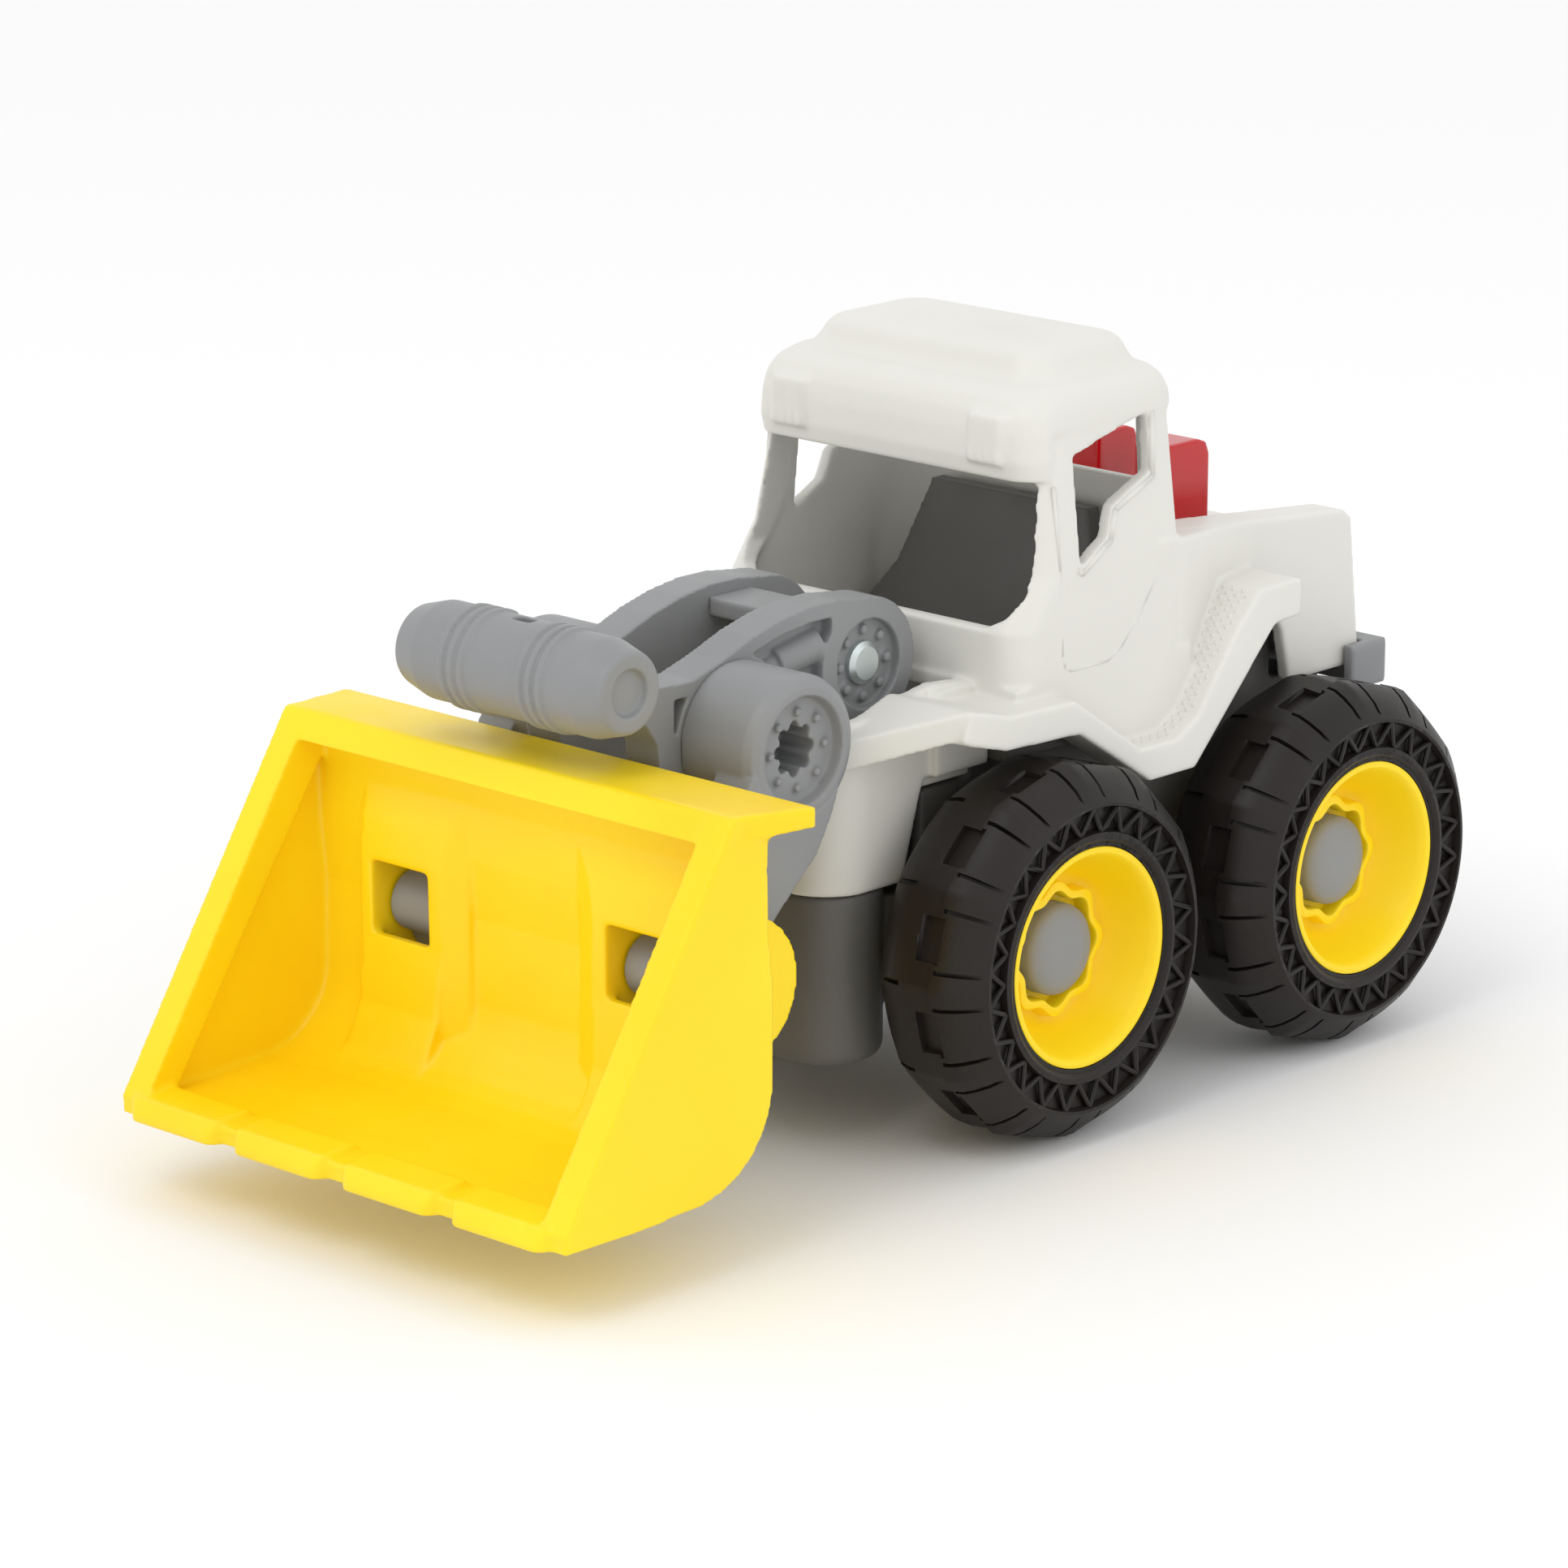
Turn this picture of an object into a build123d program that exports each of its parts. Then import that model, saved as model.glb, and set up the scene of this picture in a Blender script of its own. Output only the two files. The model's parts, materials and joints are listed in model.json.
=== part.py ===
"""Toy front loader, about 185 mm long, built from its separate moulded pieces.

Frame: millimetres, +Z up, the ground is z = 0, the bucket points along -Y and the left
side of the vehicle is +X. The origin is under the middle of the overall box.
"""

import os
from math import cos, pi, sin

from build123d import *

os.makedirs("parts", exist_ok=True)

# ---- driving dimensions -------------------------------------------------------------
# wheels
TYRE_R = 25.8
HUB_Z = TYRE_R
FRONT_AXLE_Y = 8.1
REAR_AXLE_Y = 66.0
TYRE_INNER_X = 22.0
TREAD_BLOCKS = 14
TREAD_GROOVE_W = 0.7
TREAD_GROOVE_X = (34.2, 40.5)
RIM_FACE_X = 39.0
RIM_R = 15.0
RIM_FIT = 0.02
RIM_WEB_X = 31.0
AXLE_R = 1.5
AXLE_CLEARANCE = 0.05
AXLE_HALF = 33.0
CAP_R = 6.2
LOBES = 8

# white body
WALL = 2.0
CAB_REAR_Y = 41.5
DECK_Z = 60.0
BODY_HALF = 20.0
NOSE_HALF = 18.8
NOSE_CORNER = 7.5
HOOD_HALF = 22.0
RAIL_IN_X = 16.0
HOOD_REAR_Y = 85.6
CHANNEL_Z = 66.6
NOSE_Y = -20.4
NOSE_BOTTOM_Z = 35.0
SKIRT_Z = 48.5
FENDER_X = 31.5
SLOT_HALF = 16.6
SLOT_FLOOR_Z = 49.5
RIB_X = 17.6
LIGHT_X = 6.4
LIGHT_Y = 62.5
LIGHT_PEG_R = 1.8
FENDER_TOP = [
    (-7.0, 60.6),
    (1.0, 58.6),
    (13.6, 58.2),
    (27.2, 49.0),
    (34.6, 49.0),
    (38.6, 51.2),
    (47.0, 62.0),
    (51.6, 66.4),
    (60.4, 66.6),
]
FENDER_UNDER = [
    (60.4, 61.4),
    (55.0, 61.0),
    (38.4, 44.2),
    (29.0, 44.2),
    (14.6, 53.4),
    (0.0, 54.0),
    (-8.6, 56.6),
]

# chassis
CHASSIS_HALF = 17.0
CHASSIS_BOTTOM_Z = 19.0
CHASSIS_TOP_Z = 33.0
BULKHEAD_BOTTOM_Z = 11.5
SCREW_TOPS = {0.0: 47.0, 48.0: 64.6}
SCREW_R = 1.25
SCREW_BORE_R = 1.3
SCREW_HEAD_R = 2.5
COLUMN_R = 3.2
POST_R = 2.5
FLOOR_Z = 48.8
SIDE_WALL_IN_X = 15.5
SIDE_WALL_OUT_X = 17.5
SIDE_WALL = [
    (-1.2, 32.0),
    (-1.2, 46.4),
    (8.4, 46.4),
    (8.4, 48.2),
    (43.4, 48.2),
    (43.4, 62.0),
    (71.0, 62.0),
    (71.0, 48.2),
    (82.0, 48.2),
    (82.0, 32.0),
]
BUMPER_HALF = 23.9
BUMPER_REAR_Y = 89.4
BUMPER_LOW_Z = 45.2
BUMPER_TOP_Z = 51.6
HITCH_REAR_Y = 92.3

# cab
SEAT_FOOT_HALF = 22.0
SEAT_TOP_Z = 77.6
SEAT_REAR_Y = 38.2
VISOR_Z = 86.4
ROOF_Z = 102.3
WINDSHIELD = [
    (21.2, 67.5),
    (23.6, 68.8),
    (24.8, 71.2),
    (24.5, 78.0),
    (23.7, VISOR_Z),
]
SIDE_WINDOW = [
    (19.8, 74.4),
    (19.6, 89.0),
    (35.0, 92.4),
    (34.8, 84.8),
    (26.6, 81.4),
    (25.2, 77.4),
]
SHOULDER = [
    (19.0, 36.0),
    (27.2, 36.0),
    (27.0, 41.0),
    (25.6, 46.0),
    (23.8, 52.0),
    (22.4, 58.0),
    (21.9, 62.0),
    (19.0, 62.0),
]
WHEEL_WELL = [
    (42.8, 40.0),
    (42.8, 48.4),
    (55.0, 60.8),
    (60.4, 61.2),
    (65.6, 60.0),
    (68.2, 56.0),
    (69.6, 50.0),
    (70.0, 40.0),
]
SKIRT = [
    (6.6, 60.0),
    (6.6, 53.8),
    (14.6, 53.4),
    (29.0, 44.2),
    (38.4, 44.2),
    (42.5, 48.3),
    (42.5, 60.0),
]

# boom
ARM_PIVOT_Y = -5.5
ARM_PIVOT_Z = 63.4
ARM_IN_X = 6.0
ARM_OUT_X = 12.0
BOSS_R = 8.9
BOSS_RECESS_R = 6.0
BOSS_RECESS = 1.5
RECESS_DEPTH = 2.2
PIN_R = 1.7
PIN_HEAD_R = 2.9
LUG_IN_X = 2.0
LUG_OUT_X = 5.6
LUG_R = 4.2
GRIP_Y = -56.5
GRIP_Z = 70.2
GRIP_R = 6.5
GRIP_RIB_R = 6.9
GRIP_HALF = 18.6
DRUM_Y = -31.2
DRUM_Z = 58.9
DRUM_R = 9.8
DRUM_OUT_X = 24.5
DRUM_FACE = 1.7
LINK_IN_X = 18.2
KNUCKLE_R = 6.3
KNUCKLE_IN_X = 16.6
KNUCKLE_OUT_X = 26.2
NOSE_R = 4.1
BUMPS = 8
ARM_OUTLINE = [
    (-5.5, 72.3),
    (-11.0, 73.0),
    (-16.5, 73.1),
    (-22.0, 72.4),
    (-27.5, 71.0),
    (-33.0, 69.0),
    (-38.5, 67.4),
    (-46.0, 67.6),
    (-52.0, 69.5),
    (-52.0, 64.5),
    (-47.0, 63.0),
    (-45.0, 60.0),
    (-44.6, 56.5),
    (-40.0, 52.0),
    (-31.2, 49.9),
    (-23.0, 55.0),
    (-17.5, 61.5),
    (-12.0, 58.0),
]
ARM_RECESS = [
    (-12.5, 70.8),
    (-16.5, 70.9),
    (-22.0, 70.2),
    (-27.5, 68.8),
    (-33.0, 66.9),
    (-38.0, 65.4),
    (-42.0, 65.3),
    (-42.0, 61.0),
    (-38.0, 55.0),
    (-24.2, 57.4),
    (-18.8, 63.4),
    (-13.0, 62.0),
]
LINK_OUTLINE = [
    (-22.6, 58.6),
    (-25.9, 49.7),
    (-28.8, 44.8),
    (-32.0, 42.0),
    (-37.0, 37.5),
    (-41.0, 33.5),
    (-46.5, 31.5),
    (-52.0, 33.6),
    (-50.5, 40.0),
    (-46.0, 49.0),
    (-40.8, 57.0),
    (-31.2, 58.9),
]

# bucket
BUCKET_PIVOT_Y = -46.5
BUCKET_PIVOT_Z = 31.5
BUCKET_HALF = 40.5
BUCKET_IN_HALF = 38.0
RIM_BAND_HALF = 36.0
HOUSING_IN_X = 14.0
HOUSING_OUT_X = 28.8
HOUSING_WALL = 2.2
FLARE_X = 10.0
WINDOW_X = (16.2, 26.6)
WINDOW_Z = (30.4, 40.4)
LIP_PADS = (10.0, 29.6)
LIP_PAD_HALF = 8.3
LIP_Y = -92.3
EAR_R = 9.5
BUCKET_PIN_R = 1.6
BUCKET_OUTER = [
    (-92.0, 10.4),
    (-78.2, 10.1),
    (-66.1, 10.8),
    (-62.8, 11.7),
    (-59.9, 13.1),
    (-57.4, 15.2),
    (-55.5, 17.8),
    (-54.5, 20.0),
    (-53.9, 22.6),
    (-53.7, 35.3),
    (-54.6, 43.2),
    (-54.8, 51.4),
    (-54.6, 58.6),
    (-60.7, 59.2),
]
BUCKET_INNER = [
    (-110.0, 12.9),
    (-78.2, 12.7),
    (-66.8, 13.4),
    (-63.8, 14.2),
    (-61.4, 15.6),
    (-59.4, 17.4),
    (-57.8, 19.4),
    (-57.0, 21.4),
    (-56.6, 23.6),
    (-56.4, 35.3),
    (-57.2, 43.2),
    (-57.4, 50.4),
    (-58.6, 55.6),
    (-110.0, 55.6),
]
HOUSING = [
    (-55.0, 51.4),
    (-57.3, 50.4),
    (-58.6, 46.0),
    (-59.0, 41.0),
    (-58.8, 30.0),
    (-59.6, 21.0),
    (-62.0, 15.6),
    (-66.0, 12.6),
    (-62.0, 12.0),
    (-55.0, 19.0),
]
HOUSING_HOLLOW = [
    (-52.0, 49.4),
    (-55.8, 48.6),
    (-57.0, 45.6),
    (-57.4, 41.0),
    (-57.3, 30.2),
    (-57.2, 24.0),
    (-52.0, 19.6),
]


# ---- small helpers ------------------------------------------------------------------
def span_box(x0, x1, y0, y1, z0, z1):
    """Box between two corners."""
    block = Box(abs(x1 - x0), y1 - y0, z1 - z0)
    return Pos((x0 + x1) / 2, (y0 + y1) / 2, (z0 + z1) / 2) * block


def side_plate(points, x0, x1):
    """Closed (y, z) outline extruded from x0 to x1."""
    face = make_face(Plane.YZ * Polyline(*points, close=True))
    return Pos(x0, 0, 0) * extrude(face, amount=x1 - x0, dir=(1, 0, 0))


def front_plate(points, y0, y1):
    """Closed (x, z) outline extruded from y0 to y1."""
    wire = Polyline(*[(x, 0, z) for x, z in points], close=True)
    return Pos(0, y0, 0) * extrude(make_face(wire), amount=y1 - y0, dir=(0, 1, 0))


def disc(x0, x1, y, z, radius):
    """Cylinder along X between x0 and x1."""
    solid = Cylinder(radius, abs(x1 - x0))
    return Pos((x0 + x1) / 2, y, z) * Rot(0, 90, 0) * solid


def post(x, y, z0, z1, radius):
    """Upright cylinder between z0 and z1."""
    return Pos(x, y, (z0 + z1) / 2) * Cylinder(radius, z1 - z0)


def level_rect(half_x, y0, y1, z, corner):
    """Rounded rectangle at height z, symmetric about X = 0."""
    outline = RectangleRounded(2 * half_x, y1 - y0, corner)
    return Pos(0, (y0 + y1) / 2, z) * outline


def mirrored(shape):
    """The same shape on the other side of the vehicle."""
    return mirror(shape, about=Plane.YZ)


def both(shape):
    """A shape and its mirror image."""
    return shape + mirrored(shape)


def turned(points, y, z, side=1):
    """Closed (x, radius) outline turned about the X axis line through (y, z)."""
    wire = Polyline(*[(side * x, r, 0) for x, r in points], close=True)
    ring = revolve(make_face(wire), axis=Axis.X, revolution_arc=360)
    return Pos(0, y, z) * ring


def around(count, radius, y, z):
    """Positions (y, z) evenly spaced on a circle about an X axis line."""
    step = 2 * pi / count
    return [(y + radius * cos(i * step), z + radius * sin(i * step)) for i in range(count)]


def save(shape, node):
    """Write one node and report its size."""
    export_step(shape, f"parts/{node}.step")
    size = shape.bounding_box().size
    print(f"{node:22s} {len(shape.solids())} solid(s) {size.X:6.1f} {size.Y:6.1f} {size.Z:6.1f}")


# ---- wheels -------------------------------------------------------------------------
def tyre(y, side):
    """Wide block tyre: a turned carcass with tread grooves cut across its shoulder."""
    profile = [
        (TYRE_INNER_X, RIM_R),
        (TYRE_INNER_X, 21.0),
        (25.4, 25.2),
        (30.6, TYRE_R),
        (35.6, 24.9),
        (39.9, 20.6),
        (39.6, 16.4),
        (RIM_FACE_X, 15.9),
        (RIM_FACE_X, RIM_R),
    ]
    carcass = turned(profile, y, HUB_Z, side)
    half = TREAD_GROOVE_W / 2
    groove = span_box(TREAD_GROOVE_X[0] * side, TREAD_GROOVE_X[1] * side, -half, half, 0, 3.0)
    for i in range(TREAD_BLOCKS):
        turn = Rot(360 / TREAD_BLOCKS * i, 0, 0)
        carcass -= Pos(0, y, HUB_Z) * turn * Pos(0, 0, TYRE_R - 1.1) * groove
    return carcass


def rim(y, side):
    """Dished yellow rim: barrel, cone, web and a lobed ring around the hub."""
    profile = [
        (TYRE_INNER_X + 0.6, AXLE_R),
        (TYRE_INNER_X + 0.6, 4.6),
        (29.0, 4.6),
        (29.0, 12.4),
        (TYRE_INNER_X + 0.6, 13.0),
        (TYRE_INNER_X + 0.6, RIM_R - RIM_FIT),
        (RIM_FACE_X, RIM_R - RIM_FIT),
        (RIM_FACE_X, 13.9),
        (37.8, 13.2),
        (31.6, 10.4),
        (RIM_WEB_X, 9.6),
        (RIM_WEB_X, AXLE_R),
    ]
    wheel = turned(profile, y, HUB_Z, side)
    ring_in = side * (RIM_WEB_X - 0.2)
    ring_out = side * (RIM_WEB_X + 2.4)
    ring = disc(ring_in, ring_out, y, HUB_Z, 8.2)
    for cy, cz in around(LOBES, 7.4, y, HUB_Z):
        ring += disc(ring_in, ring_out, cy, cz, 2.0)
    ring -= disc(ring_in - side, ring_out + side, y, HUB_Z, CAP_R + 0.1)
    return wheel + ring


def axle_cap(y, side):
    """Domed grey cap pressed over the end of the axle."""
    profile = [
        (RIM_WEB_X, AXLE_R),
        (RIM_WEB_X, CAP_R),
        (33.6, CAP_R),
        (34.6, 5.3),
        (35.2, 3.6),
        (35.4, 0.0),
        (AXLE_HALF, 0.0),
        (AXLE_HALF, AXLE_R),
    ]
    return turned(profile, y, HUB_Z, side)


def axle(y):
    """Plain steel rod across the vehicle."""
    return disc(-AXLE_HALF, AXLE_HALF, y, HUB_Z, AXLE_R)


# ---- chassis ------------------------------------------------------------------------
def bulkhead():
    """Rounded block under the nose with a softened lower edge."""
    plan = level_rect(NOSE_HALF - 0.3, NOSE_Y + 0.3, -5.0, BULKHEAD_BOTTOM_Z, NOSE_CORNER)
    block = extrude(plan, amount=NOSE_BOTTOM_Z - 0.1 - BULKHEAD_BOTTOM_Z)
    low_edge = block.faces().sort_by(Axis.Z)[0].edges()
    return fillet(low_edge, 2.0)


def chassis():
    """Dark base: pan, front bulkhead, side walls, axle bosses and posts under the cab floor."""
    base = span_box(-CHASSIS_HALF, CHASSIS_HALF, -14, 84, CHASSIS_BOTTOM_Z, CHASSIS_TOP_Z)
    base += bulkhead()
    base -= span_box(-14.5, 14.5, 14, 40, CHASSIS_BOTTOM_Z + 2.5, CHASSIS_TOP_Z + 1)
    base += both(side_plate(SIDE_WALL, SIDE_WALL_IN_X, SIDE_WALL_OUT_X))
    for x in (-11.0, 11.0):
        for y in (17.0, 36.0):
            base += post(x, y, CHASSIS_BOTTOM_Z + 2, FLOOR_Z, POST_R)
    for y in (FRONT_AXLE_Y, REAR_AXLE_Y):
        base += disc(-20.6, 20.6, y, HUB_Z, 5.0)
        base -= disc(-21, 21, y, HUB_Z, AXLE_R + AXLE_CLEARANCE)
    for y in SCREW_TOPS:
        base -= post(0, y, CHASSIS_BOTTOM_Z - 1, CHASSIS_TOP_Z + 1, SCREW_R + 0.2)
        base -= post(0, y, CHASSIS_BOTTOM_Z - 1, CHASSIS_BOTTOM_Z + 2.5, SCREW_HEAD_R + 0.3)
    return base


def rear_bumper():
    """Grey counterweight bar that wraps the two rear corners of the body."""
    front_y = HOOD_REAR_Y + 0.4
    bar = span_box(-BUMPER_HALF, BUMPER_HALF, front_y, BUMPER_REAR_Y, BUMPER_LOW_Z, BUMPER_TOP_Z)
    cheek = span_box(HOOD_HALF + 0.4, BUMPER_HALF, 81.5, BUMPER_REAR_Y, BUMPER_LOW_Z, BUMPER_TOP_Z)
    neck = span_box(-12, 12, 79.0, front_y + 2, CHASSIS_TOP_Z, BUMPER_LOW_Z + 1)
    hitch = span_box(-5, 5, BUMPER_REAR_Y - 1, HITCH_REAR_Y, BUMPER_LOW_Z + 1, BUMPER_TOP_Z - 1)
    return bar + both(cheek) + neck + hitch


def cab_interior():
    """Dark seat block inside the cab: floor and a leaning back with sloping sides."""
    half = [(SEAT_FOOT_HALF, FLOOR_Z), (SEAT_FOOT_HALF, 60.7), (18.0, 66.0), (14.0, SEAT_TOP_Z)]
    outline = front_plate(half + [(-x, z) for x, z in reversed(half)], 20.0, 45.0)
    lean = side_plate([(28.0, FLOOR_Z), (31.5, 60.0), (35.6, SEAT_TOP_Z), (SEAT_REAR_Y, SEAT_TOP_Z),
                       (SEAT_REAR_Y, FLOOR_Z)], -40, 40)
    floor = span_box(-22.5, 22.5, 10.0, SEAT_REAR_Y, FLOOR_Z, FLOOR_Z + 2.2)
    return (outline & lean) + floor


def screws():
    """Two self-tapping screws that hold the chassis to the body."""
    group = None
    for y in SCREW_TOPS:
        head_z = CHASSIS_BOTTOM_Z + 2.5
        shank = post(0, y, head_z, head_z + 20.0, SCREW_R)
        head = post(0, y, head_z - 2.0, head_z, SCREW_HEAD_R)
        cross = span_box(-2.0, 2.0, y - 0.35, y + 0.35, head_z - 2.5, head_z - 1.2)
        cross += span_box(-0.35, 0.35, y - 2.0, y + 2.0, head_z - 2.5, head_z - 1.2)
        screw = shank + head - cross
        group = screw if group is None else group + screw
    return group


# ---- white body ---------------------------------------------------------------------
def cab_solid(inset):
    """Cab block between the deck and the roof, shrunk by inset on every side."""
    lower = level_rect(27.2 - inset, 6.6 + inset, CAB_REAR_Y + 1.0 - inset, 56.0, 4.5)
    foot = level_rect(27.2 - inset, 6.6 + inset, CAB_REAR_Y + 1.0 - inset, 67.0, 4.5)
    waist = level_rect(26.9 - inset, 11.2 + inset, CAB_REAR_Y + 0.6 - inset, 74.0, 4.5)
    top = level_rect(24.6 - inset, 14.4 + inset, CAB_REAR_Y - inset, 96.0, 4.5)
    return loft([lower, foot], ruled=True) + loft([foot, waist, top], ruled=True)


def roof():
    """Domed roof cap with a raised panel and a deep front visor."""
    rim = [level_rect(25.2, 10.9, 42.2, 92.6, 4.5), level_rect(24.9, 11.5, 42.1, 95.0, 4.5),
           level_rect(24.2, 12.8, 41.5, 96.8, 4.5), level_rect(22.6, 15.4, 40.4, 98.2, 4.5)]
    cap = loft(rim, ruled=True)
    panel = [level_rect(22.0, 16.0, 39.8, 97.6, 4.5), level_rect(20.6, 17.4, 38.8, 99.6, 4.5),
             level_rect(19.6, 18.2, 38.2, 101.4, 4.0), level_rect(18.4, 19.4, 37.2, ROOF_Z, 3.6)]
    cap += loft(panel, ruled=True)
    visor = loft([level_rect(25.3, 11.4, 24.0, VISOR_Z, 4.5), level_rect(25.4, 10.8, 26.0, 89.0, 4.5),
                  level_rect(25.2, 10.9, 28.0, 92.6, 4.5)], ruled=True)
    visor -= span_box(-30, 30, 15.6, 40, 80, 92.4)
    return cap + visor


def marker_ribs():
    """Two groups of upright ribs on the visor."""
    ribs = None
    for centre in (-RIB_X, RIB_X):
        pad = span_box(centre - 3.0, centre + 3.0, 10.3, 13.5, 88.4, 95.2)
        ribs = pad if ribs is None else ribs + pad
        for k in range(4):
            ribs += post(centre - 2.1 + 1.4 * k, 10.3, 88.7, 95.0, 0.4)
    return ribs


def side_window():
    """Stepped side window outline, cut through both cab walls."""
    return side_plate(SIDE_WINDOW, -40, 40)


def windshield():
    """Front opening with rounded lower corners, up to the visor."""
    return front_plate(WINDSHIELD + [(-x, z) for x, z in reversed(WINDSHIELD)], -5, 18)


def cab_skirt():
    """Cab walls carried down to the running boards."""
    return side_plate(SKIRT, -27.2, 27.2)


def rear_window():
    """Opening in the cab's back wall above a sill."""
    return front_plate([(-19.0, 81.8), (19.0, 81.8), (18.6, 91.0), (-18.6, 91.0)], 36, 50)


def fender():
    """Stepped running board over the front wheel, down to the step and up again."""
    return side_plate(FENDER_TOP + FENDER_UNDER, BODY_HALF - 1.5, FENDER_X)


def nose_wing():
    """Triangular wing that runs the fender forward into the nose."""
    corners = [(16.0, NOSE_Y, 0), (18.0, NOSE_Y, 0), (FENDER_X, -7.0, 0), (FENDER_X, -2.0, 0),
               (16.0, -2.0, 0)]
    block = Pos(0, 0, 50) * extrude(make_face(Polyline(*corners, close=True)), amount=20)
    keep = side_plate([(-22.0, 55.6), (-7.0, 60.6), (0.0, 58.9), (0.0, 54.0), (-8.6, 56.4),
                       (-22.0, 51.4)], 10, 40)
    return block & keep


def nose_block(inset):
    """Nose with rounded vertical corners, cut to the deck line."""
    plan = level_rect(NOSE_HALF - inset, NOSE_Y + inset, 12.0, 30.0, NOSE_CORNER - inset)
    profile = [(-30.0, 56.0 - inset), (-0.2, 60.8 - inset), (8.0, DECK_Z - inset),
               (20.0, DECK_Z - inset), (20.0, SKIRT_Z), (-2.0, SKIRT_Z),
               (-6.0 - inset, NOSE_BOTTOM_Z), (-6.0 - inset, 25.0), (-30.0, 25.0)]
    return extrude(plan, amount=40) & side_plate(profile, -40, 40)


def lower_body():
    """Nose, deck and engine hood as one block before hollowing."""
    nose = nose_block(0.0) & span_box(-40, 40, -40, 40, NOSE_BOTTOM_Z, 80)
    deck = span_box(-BODY_HALF, BODY_HALF, -1.0, 44.0, SKIRT_Z, DECK_Z)
    hood = side_plate([(38.0, SKIRT_Z), (38.0, 75.2), (43.0, 74.7), (81.5, 71.0), (83.2, 69.6),
                       (HOOD_REAR_Y, SKIRT_Z)], -HOOD_HALF, HOOD_HALF)
    return nose + deck + hood


def shoulder():
    """Left hood shoulder that tapers the cab side into the hood side."""
    outline = make_face(Polyline(*[(x, y, 0) for x, y in SHOULDER], close=True))
    column = Pos(0, 0, 44.0) * extrude(outline, amount=34.0)
    return column & side_plate([(36.0, 44.2), (38.4, 44.2), (55.0, 61.0), (62.0, 61.4),
                                (62.0, 72.8), (43.0, 74.6), (36.0, 75.1)], 10, 40)


def lower_hollow():
    """Space inside the lower body, open at the bottom."""
    deck = span_box(-BODY_HALF + WALL, BODY_HALF - WALL, 1.0, 42.0, 30.0, DECK_Z - WALL)
    hood = side_plate([(36.0, 30), (36.0, 64.6), (81.2, 64.6), (83.4, SKIRT_Z), (83.4, 30)],
                      -HOOD_HALF + WALL, HOOD_HALF - WALL)
    return nose_block(WALL) + deck + hood


def pivot_lugs():
    """Two lugs inside the slot that carry the boom pin."""
    web = [(ARM_PIVOT_Y - LUG_R, SLOT_FLOOR_Z - 1), (ARM_PIVOT_Y - LUG_R, ARM_PIVOT_Z),
           (ARM_PIVOT_Y + LUG_R, ARM_PIVOT_Z), (ARM_PIVOT_Y + LUG_R, SLOT_FLOOR_Z - 1)]
    lug = side_plate(web, LUG_IN_X, LUG_OUT_X)
    lug += disc(LUG_IN_X, LUG_OUT_X, ARM_PIVOT_Y, ARM_PIVOT_Z, LUG_R)
    lug -= disc(LUG_IN_X - 1, LUG_OUT_X + 1, ARM_PIVOT_Y, ARM_PIVOT_Z, PIN_R + AXLE_CLEARANCE)
    return both(lug)


def screw_columns():
    """Bored columns that take the screws from below."""
    columns = None
    for y, top in SCREW_TOPS.items():
        column = post(0, y, CHASSIS_TOP_Z, top + 0.5, COLUMN_R)
        column -= post(0, y, CHASSIS_TOP_Z - 1, CHASSIS_TOP_Z + 10, SCREW_BORE_R)
        columns = column if columns is None else columns + column
    return columns


def body_shell():
    """The white one-piece moulding: nose, deck, cab, roof, hood and running boards."""
    outer = lower_body() + cab_solid(0.0) + cab_skirt() + both(shoulder())
    outer += both(fender()) + both(nose_wing())
    shell = outer - lower_hollow() - cab_solid(WALL)
    shell -= span_box(-24.6, 24.6, 9.4, 38.6, 40, 62)
    shell += roof()
    headroom = [level_rect(22.6, 16.4, 39.5, 88.0, 3.0), level_rect(21.0, 17.5, 39.0, 96.0, 3.0)]
    shell -= loft(headroom, ruled=True)
    shell += marker_ribs()
    shell -= side_window()
    shell -= windshield()
    shell -= rear_window()
    shell -= span_box(-RAIL_IN_X, RAIL_IN_X, CAB_REAR_Y + 3.0, 95.0, CHANNEL_Z, 90.0)
    shell += span_box(-HOOD_HALF + 1, HOOD_HALF - 1, 42.0, 82.4, CHANNEL_Z - WALL, CHANNEL_Z)
    shell -= span_box(-SLOT_HALF, SLOT_HALF, NOSE_Y + 3.0, 6.2, SLOT_FLOOR_Z + 0.5, 70.0)
    shell += span_box(-BODY_HALF + 1.8, BODY_HALF - 1.8, NOSE_Y + 8, 7.5, 47.0, SLOT_FLOOR_Z)
    shell += span_box(-11.0, 11.0, NOSE_Y + 1, NOSE_Y + 9, 47.0, SLOT_FLOOR_Z)
    shell -= span_box(-SLOT_HALF + 3, SLOT_HALF - 3, NOSE_Y - 1, NOSE_Y + 4, 54.0, 70.0)
    shell -= both(side_plate(WHEEL_WELL, 19.0, HOOD_HALF + 1))
    shell += pivot_lugs()
    shell += screw_columns()
    for side in (-1, 1):
        shell -= post(side * LIGHT_X, LIGHT_Y, CHANNEL_Z - 3, CHANNEL_Z + 1, LIGHT_PEG_R)
    return shell


# ---- red lights ---------------------------------------------------------------------
def light(side):
    """Translucent red beacon block with a rounded top rear corner and a peg."""
    outline = [(58.0, CHANNEL_Z), (58.0, 81.3), (58.6, 81.8), (64.8, 81.8), (66.4, 81.2),
               (67.0, 79.6), (67.0, CHANNEL_Z)]
    block = side_plate(outline, LIGHT_X - 3.0, LIGHT_X + 3.0)
    block += post(LIGHT_X, LIGHT_Y, CHANNEL_Z - 1.8, CHANNEL_Z + 1, LIGHT_PEG_R)
    return block if side > 0 else mirrored(block)


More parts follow.
